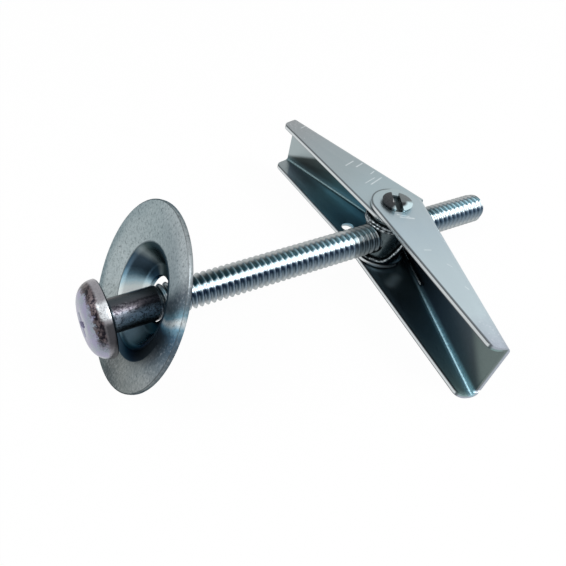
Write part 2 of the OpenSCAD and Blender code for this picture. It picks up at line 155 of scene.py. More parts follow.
# %% Trees of nodes
class Tree:
    def __init__(self, tree):
        self.tree = tree

    def node(self, kind, settings=None, inputs=None, output=0):
        made = self.tree.nodes.new(kind)
        for name, value in (settings or {}).items():
            if name == "stops":
                self.set_stops(made.color_ramp, value)
            else:
                setattr(made, name, value)
        for name, value in (inputs or {}).items():
            if isinstance(value, Signal):
                self.tree.links.new(value.socket, made.inputs[name])
            else:
                made.inputs[name].default_value = value
        return Signal(self, made.outputs[output])

    def also(self, signal, output):
        """Another output of the node that a signal comes from."""
        return Signal(self, signal.socket.node.outputs[output])

    def end(self, signal, kind):
        """Leads a signal into a new node that closes the tree."""
        self.tree.links.new(signal.socket, self.tree.nodes.new(kind).inputs[0])

    def set_stops(self, ramp, stops):
        while len(ramp.elements) < len(stops):
            ramp.elements.new(1.0)
        for element, (position, colour) in zip(ramp.elements, stops):
            element.position = position
            element.color = (*colour, 1.0)

    def step(self, value, start, end):
        """Smooth step from 0 at start to 1 at end."""
        sockets = {"Value": value, "From Min": start, "From Max": end}
        return self.node("ShaderNodeMapRange", {"interpolation_type": "SMOOTHSTEP"}, sockets)

    def band(self, value, start, full, fading, end):
        """1 from full to fading, and 0 before start and past end."""
        return self.step(value, start, full) * self.step(value, end, fading)

    def line(self, value, place, half, soft):
        """1 within soft of a place, and 0 from half away."""
        return self.step((value - place).math("ABSOLUTE"), half, soft)

    def ramp(self, value, stops):
        """Colours along a value; stops are pairs of a value and a colour."""
        low, high = stops[0][0], stops[-1][0]
        shares = [((place - low) / (high - low), colour) for place, colour in stops]
        share = (value - low) / (high - low)
        return self.node("ShaderNodeValToRGB", {"stops": shares}, {"Fac": share})

    def split(self, vector):
        x = self.node("ShaderNodeSeparateXYZ", None, {0: vector})
        return x, self.also(x, 1), self.also(x, 2)

    def around(self, y, z):
        """Turn about X, in degrees from -180 to 180, that starts at Y and grows towards Z."""
        return z.math("ARCTAN2", y) * (360.0 / math.tau)


print("masks: step, band and line; colours: ramp")

# %% [markdown]
# Every piece is steel, bare or under a thin coat of zinc: a metal with a tint and a roughness. That
# is one Principled shader each, with no pictures. A pattern needs to know where it is on the piece.
# UV maps would do, but object coordinates follow the sizes: a Mapping node undoes the matrix that
# put the piece in the frame, so the formulas read millimetres in the piece's own directions.

# %% Helpers for finishes
class Finish(Tree):
    def __init__(self, name, metallic=1.0, roughness=0.35):
        self.material = bpy.data.materials.new(name)
        self.material.use_nodes = True
        super().__init__(self.material.node_tree)
        self.shader = self.tree.nodes["Principled BSDF"]
        self.shader.inputs["Metallic"].default_value = metallic
        self.shader.inputs["Roughness"].default_value = roughness

    def feed(self, socket, signal):
        self.tree.links.new(signal.socket, self.shader.inputs[socket])

    def place(self, directions):
        """Object coordinates, in millimetres along the given directions."""
        location, rotation, scale = directions.inverted().decompose()
        point = self.node("ShaderNodeTexCoord", None, None, "Object")
        turn = rotation.to_euler()
        sockets = {"Vector": point, "Location": location, "Rotation": turn, "Scale": scale}
        return self.node("ShaderNodeMapping", None, sockets)

    def mix(self, factor, first, second):
        """Colours first and second, blended by factor."""
        made = self.tree.nodes.new("ShaderNodeMix")
        made.data_type = "RGBA"
        numbered = {0: factor, 6: first, 7: second}
        for number, value in numbered.items():
            socket = made.inputs[number]
            if isinstance(value, Signal):
                self.tree.links.new(value.socket, socket)
            elif socket.type == "RGBA":
                socket.default_value = (*value, 1.0)
            else:
                socket.default_value = value
        return Signal(self, made.outputs[2])

    def noise(self, point, scale, detail=3.0, roughness=0.55):
        """Cloudy values around 0.5; scale is features per millimetre."""
        sockets = {"Vector": point, "Scale": scale, "Detail": detail, "Roughness": roughness}
        return self.node("ShaderNodeTexNoise", {"noise_dimensions": "3D"}, sockets)

    def bump(self, height, strength, depth):
        sockets = {"Height": height, "Strength": strength, "Distance": depth}
        self.feed("Normal", self.node("ShaderNodeBump", None, sockets))

    def stroke(self, x, y, middle, length, angle, width):
        """Mask of one short soft-edged stroke on two coordinates."""
        cos, sin = math.cos(math.radians(angle)), math.sin(math.radians(angle))
        dx, dy = x - middle[0], y - middle[1]
        beyond = ((dx * cos + dy * sin).math("ABSOLUTE") - length / 2).math("MAXIMUM", 0.0)
        return 1.0 - self.step(distance(beyond, dy * cos - dx * sin), 0.0, width)


print("finishes: place, mix, noise, bump and stroke")

# %% [markdown]
# A flange of a wing is cut from sheet, and its free edge runs straight from the tip to a round ear.
# The cut catches light as a thin line. That line could be modelled, but it is finer than a hair, so
# a formula finds it instead: how far a point lies from the line, or from the round of the ear.

# %% Wing sizes and the distance from a flange's free edge
WEB = {"left": 8.6, "right": 6.55}
TIP_DEPTH = {"left": 4.9, "right": 3.4}
EAR_R = {"left": 5.25, "right": 5.1}
WING_LEN = {"left": 37.0, "right": 37.1}
HALF_WIDTH = {"left": 6.15, "right": 7.2}
MIDDLE_Z = 0.9  # the wings' mid-plane, along the trunnions


def edge_lean(side):
    """Slope, as an angle, of the free edge that runs from the tip to the round of the ear."""
    tip_v = WEB[side] - TIP_DEPTH[side]
    reach = math.hypot(WING_LEN[side], tip_v)
    return math.atan2(tip_v, WING_LEN[side]) + math.asin(EAR_R[side] / reach)


def edge_distance(side, u, v):
    """Millimetres from the free edge of a flange, measured inwards."""
    lean = edge_lean(side)
    past_ear = (u * math.cos(lean) + v * math.sin(lean)).math("MINIMUM", 0.0)
    below = (u * math.sin(lean) - v * math.cos(lean)).math("MAXIMUM", 0.0)
    return EAR_R[side] - distance(past_ear, below)


for side in WEB:
    print(side, "free edge slopes by", round(math.degrees(edge_lean(side)), 1), "degrees")

# %% [markdown]
# Outside, a wing is cool grey zinc that drifts a little in tone down its length, with a sparkle of
# pale specks near the right wing's tip. One flat colour would look like plastic. A ramp along u
# gives the drift, and a slow noise bends it, so that no border runs straight across the sheet.

# %% Wing skin
# Tones down the length of the outer faces: (place along u, colour)
SKIN_TONES = {
    "left": [(-5, (0.36, 0.44, 0.46)), (8, (0.34, 0.42, 0.45)), (15, (0.31, 0.37, 0.39)),
             (24, (0.30, 0.35, 0.37)), (37, (0.27, 0.29, 0.30))],
    "right": [(-5, (0.36, 0.44, 0.46)), (3, (0.38, 0.46, 0.50)), (9, (0.40, 0.49, 0.54)),
              (18, (0.45, 0.54, 0.58)), (30, (0.47, 0.56, 0.60)), (37, (0.36, 0.40, 0.46))],
}
SPECK = (0.75, 0.76, 0.82)


def wing_skin(made, side, point, u, drift):
    """Tone of the outer faces, with specks that gather towards the tip."""
    skin = made.ramp(u + drift, SKIN_TONES[side])
    specks = made.step(made.noise(point, 2.2, 5.0, 0.75), 0.55, 0.7) * made.step(u, 24, 36)
    return made.mix(specks * 0.6, skin, SPECK)


print("skin tones:", {side: len(stops) for side, stops in SKIN_TONES.items()})

# %% [markdown]
# Inside, the channel is dark: its walls mirror each other, so light dies from bounce to bounce. A
# path tracer does part of that by itself, and zinc all over would still come out too pale, so the
# far flange and the web get deep blue-green tones of painted shade. Painted light comes in at the
# open tip, at the fold, and as one soft painted highlight on the flange.

# %% Inside of the channel
# Painted shade of the far flange and the web, down the length: (place along u, colour)
FAR_TONES = {
    "left": [(3, (0.12, 0.20, 0.25)), (8, (0.17, 0.30, 0.37)), (13, (0.18, 0.355, 0.45)),
             (20, (0.19, 0.36, 0.44)), (24, (0.147, 0.248, 0.30)), (28, (0.10, 0.146, 0.172)),
             (33, (0.10, 0.13, 0.155))],
    "right": [(2, (0.126, 0.172, 0.206)), (8, (0.114, 0.18, 0.215)), (15, (0.10, 0.16, 0.20)),
              (22, (0.107, 0.18, 0.22)), (30, (0.15, 0.25, 0.278)), (37, (0.206, 0.30, 0.30))],
}
WEB_TONES = {
    "left": [(5, (0.05, 0.10, 0.12)), (12, (0.065, 0.12, 0.14)), (20, (0.065, 0.10, 0.10)),
             (30, (0.053, 0.065, 0.065))],
    "right": [(2, (0.05, 0.085, 0.11)), (10, (0.03, 0.05, 0.07)), (16, (0.05, 0.08, 0.11)),
              (22, (0.06, 0.09, 0.115)), (34, (0.06, 0.075, 0.083))],
}
# Painted light at the open tip: start along u, lean of its border, softness and colour
FAR_TIP_LIGHT = {
    "left": (29.2, 0.83, 0.7, (0.24, 0.28, 0.29)),
    "right": (36.5, 0.0, 1.0, (0.2, 0.3, 0.3)),
}
WEB_TIP_LIGHT = {
    "left": (28.5, -2.2, 2.5, (0.36, 0.42, 0.43)),
    "right": (31.5, -1.4, 4.5, (0.14, 0.18, 0.175)),
}
# Painted highlight on the far flange: middle, length, angle, width and colour
FAR_GLEAM = {
    "left": ((17.0, 5.2), 8.0, 10, 1.6, (0.20, 0.39, 0.49)),
    "right": ((8.8, 0.7), 2.6, -43, 1.9, (0.36, 0.47, 0.52)),
}
# Painted highlight along the fold inside
FOLD_GLEAM = {"left": (0.14, 0.21, 0.23), "right": (0.40, 0.66, 0.76)}


def tip_light(made, tone, u, aside, light):
    start, lean, soft, colour = light
    return made.mix(made.step(u - aside * lean, start, start + soft), tone, colour)


def wing_hollow(made, side, u, v, z, drift, grain):
    """Painted shade and light of the inside: the far flange, the web and the fold between them."""
    far = tip_light(made, made.ramp(u + drift, FAR_TONES[side]), u, v, FAR_TIP_LIGHT[side])
    *place, colour = FAR_GLEAM[side]
    far = made.mix(made.stroke(u, v, *place), far, colour)
    web = tip_light(made, made.ramp(u + drift, WEB_TONES[side]), u, z, WEB_TIP_LIGHT[side])
    on_web = made.step(v, WEB[side] - 2.0 * SHEET, WEB[side] - 1.2 * SHEET)
    from_far_side = z - (MIDDLE_Z - HALF_WIDTH[side])
    fold = on_web * made.step(from_far_side, 3.0 * SHEET, 1.3 * SHEET) * made.step(u, 4, 22)
    return made.mix(fold * grain * 1.4, made.mix(on_web, far, web), FOLD_GLEAM[side])


print("inner tones:", {side: len(FAR_TONES[side]) + len(WEB_TONES[side]) for side in FAR_TONES})

# %% [markdown]
# The sheared edge gets a painted highlight, brighter than the rolled faces, with painted shade as a
# dark line on either side. Fasteners also rub together in their box, which leaves short pale rubs
# on the near flange. They could be noise, but a few listed strokes look more like real handling.

# %% Sheared edge and rubs
# Painted highlight across the middle of the cut, darker towards its faces, and painted shade beside
# it
EDGE_LIGHT, EDGE_CORE, EDGE_SHADE = (0.62, 0.66, 0.67), (0.1, 0.11, 0.12), (0.05, 0.06, 0.065)
RUB = (0.8, 0.85, 0.87)
# Rubs on the near flange: middle, length, angle and width of each stroke
RUBS = {
    "left": [((8.4, 4.2), 4.0, 84, 0.22), ((9.3, 3.2), 3.4, 86, 0.16), ((11.0, 6.0), 1.4, 80, 0.2),
             ((14.6, 5.8), 2.2, 85, 0.25), ((16.3, 4.4), 2.8, 84, 0.22),
             ((33.2, 6.6), 1.6, 88, 0.18), ((-2.6, -2.0), 3.0, -40, 0.45),
             ((-3.4, -1.5), 2.0, -38, 0.3)],
    "right": [((4.6, 0.6), 2.6, 80, 0.35), ((3.9, 0.0), 2.2, 76, 0.25),
              ((14.1, 1.2), 1.3, 88, 0.16), ((18.3, 3.8), 1.0, 40, 0.12),
              ((24.0, 4.6), 0.8, 30, 0.12)],
}


def sheared_edge(made, side, tone, u, v, from_middle):
    """Lays the cut's painted highlight and its painted dark borders over a tone."""
    inwards = edge_distance(side, u, v)
    cut = made.step(inwards, 0.13, 0.03)
    beside = made.step(inwards, 0.42, 0.17) * (1.0 - cut)
    tone = made.mix(beside * 0.8, tone, EDGE_SHADE)
    through = (from_middle - (HALF_WIDTH[side] - 0.5 * SHEET)).math("ABSOLUTE")
    return made.mix(cut, tone, made.mix(made.step(through, 0.2, 0.4), EDGE_LIGHT, EDGE_CORE))


def rubbed(made, side, tone, u, v, z, grain):
    """Lays the rubs over a tone, on the near flange only."""
    near = made.step(z, HALF_WIDTH[side], HALF_WIDTH[side] + 0.5)
    for place in RUBS[side]:
        tone = made.mix(made.stroke(u, v, *place) * near * grain * 1.2, tone, RUB)
    return tone


print("rubs:", {side: len(strokes) for side, strokes in RUBS.items()})

# %% [markdown]
# A wing wears its skin outside, the painted shade of the hollow inside, and the painted highlight of
# the sheared edge between them. The masks read how deep a point lies in the sheet, so the borders
# fall inside the metal and never show on a face. A material for each side of the sheet would do
# too, but its faces would be picked by hand.

# %% Wing finish
def wing_finish(side, directions):
    """Cool zinc outside, and painted shade for the dark that a deep channel keeps inside."""
    made = Finish("zinc sheet " + side, roughness=0.36)
    point = made.place(directions)
    u, v, z = made.split(point)
    grain = made.noise(point, 3.0)
    drift = (made.noise(point, 0.35) - 0.5) * 4.0
    from_middle = (z - MIDDLE_Z).math("ABSOLUTE")
    outer, inner = 0.35 * SHEET, 0.75 * SHEET
    inside = made.step(from_middle, HALF_WIDTH[side] - outer, HALF_WIDTH[side] - inner)
    inside = inside * made.step(v, WEB[side] - outer, WEB[side] - inner)
    skin = wing_skin(made, side, point, u, drift)
    tone = made.mix(inside, skin, wing_hollow(made, side, u, v, z, drift, grain))
    tone = sheared_edge(made, side, tone, u, v, from_middle)
    made.feed("Base Color", rubbed(made, side, tone, u, v, z, grain))
    made.feed("Roughness", grain * 0.2 + 0.28)
    made.bump(grain, 0.06, 0.1 * MM)
    return made.material


FINISH = {"wing_left": wing_finish("left", LEFT_WING), "wing_right": wing_finish("right", RIGHT_WING)}
for finish in FINISH.values():
    print(finish.name, len(finish.node_tree.nodes), "nodes")

# %% [markdown]
# The washer is pressed from one disc: a wide ring, slightly dished, round a cup that keeps it clear
# of the bolt. It lies tilted on the bolt. Its finish is told in polar terms, as the press and the
# light both go round it: an angle round the washer and a radius out from its middle.

# %% The washer's own directions
RING_CENTRE = (6.386, 1.037, 2.138)  # in the bolt's directions
WASHER_LEAN, WASHER_TURN = 26.2, -7.5
RING_R, MOUTH_R, FOOT_R = 17.2, 9.65, 6.4
CUP_MIDDLE_R = 8.5
WASHER = (
    BOLT
    @ Matrix.Translation(RING_CENTRE)
    @ Matrix.Rotation(math.radians(WASHER_LEAN), 4, "Y")
    @ Matrix.Rotation(math.radians(WASHER_TURN), 4, "Z")
)


def full_turn(degrees):
    """The same angle, counted from 0 to 360."""
    return (degrees / 360.0).math("FRACT") * 360.0


print("washer's ring is", round(RING_R - MOUTH_R, 2), "mm wide")

# %% [markdown]
# The ring is matt and grainy, with one bright streak where its dish faces the light and a shade on
# either side of it. Real zinc does this by itself under a real lamp, but here the world is evenly
# white, so a ramp round the ring paints the streak as a highlight, with painted shades beside it and
# a painted reflection round the rest. The further in, the later the streak comes, because the dish
# turns the light. Below the cup the bend stays dark as painted shade, like the rim's edge, and dark
# specks crowd at one side.

# %% Washer's ring
# Painted reflection round the ring, with its highlight and shades: (angle, colour)
RING_TONES = [(0, (0.43, 0.49, 0.50)), (60, (0.41, 0.47, 0.48)), (100, (0.40, 0.445, 0.46)),
              (126, (0.41, 0.46, 0.48)), (136, (0.13, 0.155, 0.18)), (144, (0.11, 0.155, 0.19)),
              (149, (0.22, 0.40, 0.50)), (152.5, (0.95, 1.0, 1.0)), (156, (0.24, 0.46, 0.60)),
              (161, (0.08, 0.16, 0.24)), (168, (0.07, 0.115, 0.16)), (200, (0.33, 0.35, 0.35)),
              (228, (0.28, 0.29, 0.28)), (252, (0.17, 0.175, 0.17)), (290, (0.34, 0.37, 0.36)),
              (330, (0.43, 0.49, 0.50)), (360, (0.43, 0.49, 0.50))]
GRAIN_DARK, GRAIN_PALE = (0.13, 0.14, 0.15), (0.62, 0.65, 0.67)
RING_SPECK, BEND_SHADE = (0.07, 0.07, 0.08), (0.065, 0.088, 0.11)
# Painted shade along the rim's edge and on its side
RIM_EDGE_SHADE, RIM_SIDE_SHADE = (0.06, 0.07, 0.075), (0.07, 0.08, 0.085)
# The streak is the ring's painted highlight
HIGHLIGHT_TWIST = 11.0  # degrees that the streak turns from the rim to the cup


def ring_grain(made, ring, point, angle, cloud, grain):
    """Pale and dark grains all over, and darker specks that crowd at one side."""
    ring = made.mix(made.step(grain, 0.5, 0.32) * 0.75, ring, GRAIN_DARK)
    ring = made.mix(made.step(grain, 0.5, 0.7) * 0.4, ring, GRAIN_PALE)
    specks = made.step(made.noise(point, 1.5, 6.0, 0.85), 0.58, 0.66)
    crowded = made.band(angle, 95.0, 118.0, 124.0, 140.0) * 0.4 + 0.6
    return made.mix(specks * made.step(cloud, 0.3, 0.6) * crowded, ring, RING_SPECK)


def ring_tone(made, point, radius, angle, grain):
    """Grey zinc with a painted highlight, and painted shade below the cup and along the rim."""
    cloud = made.noise(point, 0.25)
    inward = ((RING_R - radius) / (RING_R - MOUTH_R)).math("MAXIMUM", 0.0)
    ring = made.ramp(angle - inward * HIGHLIGHT_TWIST + (cloud - 0.5) * 5.0, RING_TONES)
    ring = ring_grain(made, ring, point, angle, cloud, grain)
    shade_end = 163.0 + inward.math("POWER", 1.2) * 35.0 + made.step(inward, 0.66, 0.86) * 110.0
    shade = made.step(angle, 164.0, 172.0) * made.step(shade_end - angle, -5.0, 12.0)
    ring = made.mix(shade, ring, BEND_SHADE)
    ring = made.mix(made.line(radius, RING_R - 0.15, 0.14, 0.03) * 0.7, ring, RIM_EDGE_SHADE)
    return made.mix(made.step(radius, RING_R - 0.12, RING_R) * 0.35, ring, RIM_SIDE_SHADE)


print("ring tones:", len(RING_TONES))

# %% [markdown]
# The cup is a deep bowl: nearly black, with one wall that faces the light. Zinc there would mirror
# the dark wall across from it and stay dark as well. So the bright wall is a painted highlight and
# is made less metallic, which lets it scatter light, and the rest keeps its dark tones of painted
# shade.

# %% Washer's cup
# Painted shade round the cup, with its wall's painted highlight, on either side of the near
# trunnion's way: (angle, colour)
CUP_TONES = [(-180, (0.08, 0.12, 0.15)), (-130, (0.09, 0.125, 0.145)), (-95, (0.07, 0.11, 0.14)),
             (-60, (0.3, 0.4, 0.42)), (-46, (1.0, 1.0, 1.0)), (-30, (0.9, 1.0, 1.0)),
             (-21, (0.52, 0.74, 0.84)), (-11, (0.18, 0.32, 0.42)), (0, (0.07, 0.12, 0.17)),
             (20, (0.06, 0.09, 0.12)), (33, (0.22, 0.26, 0.27)), (46, (0.09, 0.11, 0.11)),
             (60, (0.06, 0.08, 0.085)), (180, (0.08, 0.12, 0.15))]
# Painted shade at the cup's foot and along its mouth; the bright wall is the painted highlight
CUP_FOOT_SHADE, MOUTH_SHADE_LINE = (0.0, 0.004, 0.008), (0.04, 0.05, 0.06)
CUP_TWIST = 5.0  # degrees that the bright wall turns for each millimetre inwards


def cup_tone(made, leaning, radius, wall_highlight, grain):
    """Painted shade of the cup, darkest at its foot, and a painted highlight on its bright wall."""
    cup = made.ramp(leaning + (grain - 0.5) * 8.0, CUP_TONES)
    foot = made.step(radius, FOOT_R + 1.4, FOOT_R) * 0.5 * (1.0 - wall_highlight)
    return made.mix(foot, cup, CUP_FOOT_SHADE)


def washer_finish():
    """Matt zinc round a cup of painted shade, with one wall as a painted highlight."""
    made = Finish("zinc washer", roughness=0.42)
    made.shader.inputs["Specular Tint"].default_value = (0.0, 0.1, 0.15, 1.0)
    point = made.place(WASHER)
    x, y, z = made.split(point)
    radius = distance(y, z)
    degrees = made.around(y, z)
    grain = made.noise(point, 1.9, 4.0, 0.8)
    leaning = degrees - (CUP_MIDDLE_R - radius) * CUP_TWIST
    wall_highlight = made.band(leaning, -62.0, -50.0, -24.0, -4.0)
    in_cup = made.step(radius, MOUTH_R + 0.1, MOUTH_R - 0.05)
    ring = ring_tone(made, point, radius, full_turn(degrees), grain)
    tone = made.mix(in_cup, ring, cup_tone(made, leaning, radius, wall_highlight, grain))
    tone = made.mix(made.line(radius, MOUTH_R + 0.1, 0.22, 0.06) * 0.6, tone, MOUTH_SHADE_LINE)
    made.feed("Base Color", tone)
    made.feed("Metallic", 1.0 - in_cup * wall_highlight * 0.95)
    made.feed("Roughness", grain * 0.2 + 0.3)
    made.bump(grain, 0.10, 0.1 * MM)
    return made.material


FINISH["washer"] = washer_finish()
print(FINISH["washer"].name, len(FINISH["washer"].node_tree.nodes), "nodes")

# %% [markdown]
# A rolled thread shows bright crests and dark gaps, and both change round the bolt with what they
# mirror: sky above, dark sheet beside. Two ramps by angle, one for crests and one for gaps, paint
# that reflection with its highlight band, and are blended by the radius. Near the washer and the nut
# the thread lies in their shade, which is painted, and the end face is plain.

# %% Thread tones
CREST, ROOT = 3.175, 2.42
BOLT_LENGTH = 88.9
# Painted reflection round the bolt, from the left wing's side towards the near trunnion:
# (angle, colour)
CREST_TONES = [(0, (0.25, 0.29, 0.31)), (55, (0.42, 0.45, 0.45)), (72, (0.36, 0.38, 0.39)),
               (79, (0.12, 0.16, 0.18)), (92, (0.12, 0.19, 0.22)), (107, (0.15, 0.26, 0.31)),
               (113, (0.85, 0.95, 1.0)), (134, (0.90, 0.98, 1.0)), (140, (0.20, 0.28, 0.36)),
               (150, (0.10, 0.15, 0.21)), (162, (0.17, 0.23, 0.28)), (182, (0.26, 0.31, 0.35)),
               (196, (0.42, 0.46, 0.47)), (240, (0.25, 0.29, 0.31)), (360, (0.25, 0.29, 0.31))]
ROOT_TONES = [(0, (0.06, 0.08, 0.09)), (55, (0.12, 0.14, 0.14)), (75, (0.03, 0.05, 0.055)),
              (95, (0.015, 0.045, 0.055)), (108, (0.02, 0.06, 0.08)), (115, (0.50, 0.66, 0.72)),
              (131, (0.50, 0.64, 0.72)), (138, (0.01, 0.02, 0.05)), (152, (0.012, 0.025, 0.05)),
              (162, (0.10, 0.145, 0.185)), (184, (0.17, 0.21, 0.24)), (240, (0.06, 0.08, 0.09)),
              (360, (0.06, 0.08, 0.09))]
WASHER_SHADE, NUT_SHADE, END_FACE = (0.035, 0.05, 0.06), (0.04, 0.055, 0.06), (0.40, 0.44, 0.46)
NUT_SHADE_FROM, NUT_SHADE_TO = 51.0, 62.0


def thread_tone(made, x, radius, angle, cloud, grit):
    """Painted reflection on crests over dark gaps, with painted shade by the washer and the nut."""
    angle = angle + (grit - 0.5) * 12.0
    on_crest = made.step(radius, ROOT - 0.05, ROOT + 0.5)
    tone = made.mix(on_crest, made.ramp(angle, ROOT_TONES), made.ramp(angle, CREST_TONES))
    tone = made.mix(made.step(x, 13.0, 10.5) * 0.8, tone, WASHER_SHADE)
    tone = made.mix(made.step(x, BOLT_LENGTH - 0.3, BOLT_LENGTH - 0.05), tone, END_FACE)
    by_nut = made.step(x + (cloud - 0.5) * 3.0, NUT_SHADE_FROM, NUT_SHADE_FROM + 3.0)
    by_nut = by_nut * made.step(x, NUT_SHADE_TO, NUT_SHADE_TO - 2.0)
    return made.mix(by_nut * 0.72, tone, NUT_SHADE)


print("thread tones:", len(CREST_TONES) + len(ROOT_TONES))

# %% [markdown]
# The plain shank between the head and the thread is drawn wire with a painted reflection: dark
# above, a paler belly. It also has dark stains, and scuffs where the die gripped it next to the head.
# One noise makes both the scuffs and the stains, from its high and its low values, so that they
# hardly overlap.

# %% Shank
# Painted reflection round the shank: (angle, colour)
SHANK_TONES = [(0, (0.16, 0.18, 0.19)), (66, (0.03, 0.03, 0.035)), (76, (0.035, 0.045, 0.052)),
               (86, (0.05, 0.06, 0.068)), (101, (0.065, 0.07, 0.08)), (106, (0.02, 0.02, 0.025)),
               (112, (0.10, 0.095, 0.11)), (121, (0.09, 0.083, 0.095)), (128, (0.05, 0.048, 0.055)),
               (150, (0.50, 0.60, 0.72)), (168, (0.55, 0.66, 0.75)), (180, (0.25, 0.30, 0.34)),
               (186, (0.22, 0.24, 0.25)), (200, (0.12, 0.14, 0.15)), (360, (0.16, 0.18, 0.19))]
SCUFF, SHANK_STAIN, FILLET_SHADE = (0.22, 0.22, 0.25), (0.02, 0.02, 0.03), (0.03, 0.045, 0.055)


def shank_tone(made, point, x, angle, grit):
    """Painted reflection on the wire, with stains, and scuffs next to the head."""
    tone = made.ramp(angle + (grit - 0.5) * 22.0, SHANK_TONES)
    flakes = made.noise(point, 2.2, 4.0, 0.75)
    scuffs = made.step(flakes, 0.46, 0.62) * made.step(x, 6.5, 2.0)
    scuffs = scuffs * made.band(angle, 96.0, 106.0, 140.0, 168.0)
    tone = made.mix(scuffs * 0.6, tone, SCUFF)
    stains = made.step(flakes, 0.52, 0.40) * made.step(angle, 100.0, 112.0)
    return made.mix(stains * 0.75, tone, SHANK_STAIN)


print("shank tones:", len(SHANK_TONES))

# %% [markdown]
# The head is a mushroom, burnished by the tumbling barrel. Its dome has a lilac cast, a mottled dark
# band runs round its shoulder, and its rim is pale with one painted glint and painted shade on one
# side. These are rings about the bolt's axis, so bands along X make them, and noise makes their
# borders ragged.

# %% Head
DOME_GREY, DOME_LILAC, DOME_PALE = (0.27, 0.31, 0.36), (0.30, 0.29, 0.41), (0.75, 0.74, 0.78)
# Colours of the mottled dark band on one side of the dome's shoulder
SHOULDER_BLACK, SHOULDER_BROWN = (0.012, 0.011, 0.015), (0.11, 0.09, 0.095)
# The rim's glint is a painted highlight, and its dark side is painted shade
RIM_DARK, RIM_PALE, RIM_GLINT = (0.12, 0.12, 0.13), (0.40, 0.39, 0.42), (0.8, 0.85, 0.88)
HEAD_RIM_SHADE = (0.035, 0.035, 0.04)


def dome_tone(made, point, x, angle, cloud, grit):
    """Grey and lilac dome with its mottled shoulder."""
    dome = made.mix(made.step(cloud, 0.35, 0.6), DOME_GREY, DOME_LILAC)
    dome = made.mix((grit - 0.5) * 0.6, dome, DOME_PALE)
    blotch = made.noise(point, 1.3, 4.0, 0.65)
    ragged = x + (blotch - 0.5) * 2.2 + (grit - 0.5) * 0.8
    shoulder = made.band(ragged, -3.35, -2.85, -1.5, -0.8)
    side = made.band(angle + (grit - 0.5) * 30.0, 25, 50, 160, 190)
    shoulder_mottle = made.mix(made.step(blotch, 0.42, 0.60), SHOULDER_BLACK, SHOULDER_BROWN)
    return made.mix(shoulder * side, dome, shoulder_mottle)


def head_tone(made, point, x, angle, cloud, grit):
    """The dome, and the rim below it with its painted glint and painted shade on one side."""
    rim = made.step(x, -1.9, -1.3)
    dome = dome_tone(made, point, x, angle, cloud, grit)
    tone = made.mix(rim, dome, made.mix(grit, RIM_DARK, RIM_PALE))
    glint = made.step(x, -2.2, -1.7) * made.band(angle, 104, 113, 128, 136)
    tone = made.mix(glint * made.step(grit, 0.3, 0.55) * 0.8, tone, RIM_GLINT)
    return made.mix(made.band(angle, 136, 142, 168, 190) * rim * 0.9, tone, HEAD_RIM_SHADE)


print("head: dome, shoulder, rim, glint")

# %% [markdown]
# Head, shank and thread are one piece of zinc-plated steel, so they share one finish. The tones
# change from one to the next at their places along the bolt, which stay right if the bolt's copy
# and its thread are two meshes. A separate material for each part would show a seam.

# %% Bolt finish
SHANK_LEN, FILLET_LEN = 9.8, 1.1


def bolt_finish():
    """Rolled thread, a stained shank and a burnished head, one after the other along X."""
    made = Finish("zinc bolt", roughness=0.3)
    point = made.place(BOLT)
    x, y, z = made.split(point)
    cloud = made.noise(point, 0.6)
    grit = made.noise(point, 3.5, 5.0, 0.7)
    angle = full_turn(made.around(y, z)) + (cloud - 0.5) * 10.0
    thread_part = thread_tone(made, x, distance(y, z), angle, cloud, grit)
    shank_part = shank_tone(made, point, x, angle, grit)
    body = made.mix(made.step(x, SHANK_LEN - 0.6, SHANK_LEN + 0.1), shank_part, thread_part)
    body = made.mix(made.step(x, FILLET_LEN, FILLET_LEN - 0.4), body, FILLET_SHADE)
    head_part = head_tone(made, point, x, angle, cloud, grit)
    made.feed("Base Color", made.mix(made.step(x, -0.35, -0.1), head_part, body))
    made.feed("Roughness", cloud * 0.2 + 0.2)
    return made.material


FINISH["bolt"] = bolt_finish()
print(FINISH["bolt"].name, len(FINISH["bolt"].node_tree.nodes), "nodes")

# %% [markdown]
# The nut is turned, tapped steel, and painted shade keeps it dark between the wings. After the wings
# are on, a chisel stakes the ends of its trunnions, so that the ears can't come off. The staking
# leaves a groove, a flattened saddle and a raised lip, laid over the end as strokes and masks, with
# painted shade in the groove, painted light along its side and a painted highlight on the lip.

# %% Nut finish
# The barrel's dark tones are painted shade
BARREL_DARK, BARREL_PALE = (0.03, 0.045, 0.05), (0.12, 0.15, 0.16)
END_DARK, END_PALE = (0.015, 0.017, 0.02), (0.05, 0.055, 0.06)
# The raised lip's brightness is a painted highlight
SADDLE, LIP_HIGHLIGHT = (0.14, 0.16, 0.165), (0.62, 0.78, 0.82)
# The groove in painted shade and the painted light on its side: middle, length, angle, width and
# colour
GROOVE = [
    ((-0.9, -0.4), 2.6, -22, 0.7, (0.01, 0.012, 0.014)),
    ((-0.7, -0.6), 2.2, -20, 0.22, (0.40, 0.42, 0.43)),
]


def staked_end(made, u, v, grain):
    """Tone of a trunnion's end: the chisel's marks, in painted shade and painted highlight."""
    end = made.mix(grain, END_DARK, END_PALE)
    end = made.mix(made.step(v, 0.4, 0.9) * made.step(u, 0.7, 0.2), end, SADDLE)
    lip = made.step(distance(u, v), 1.5, 2.2) * made.band(made.around(u, v), -45, -20, 70, 95)
    end = made.mix(lip, end, LIP_HIGHLIGHT)
    for *place, colour in GROOVE:
        end = made.mix(made.stroke(u, v, *place), end, colour)
    return end


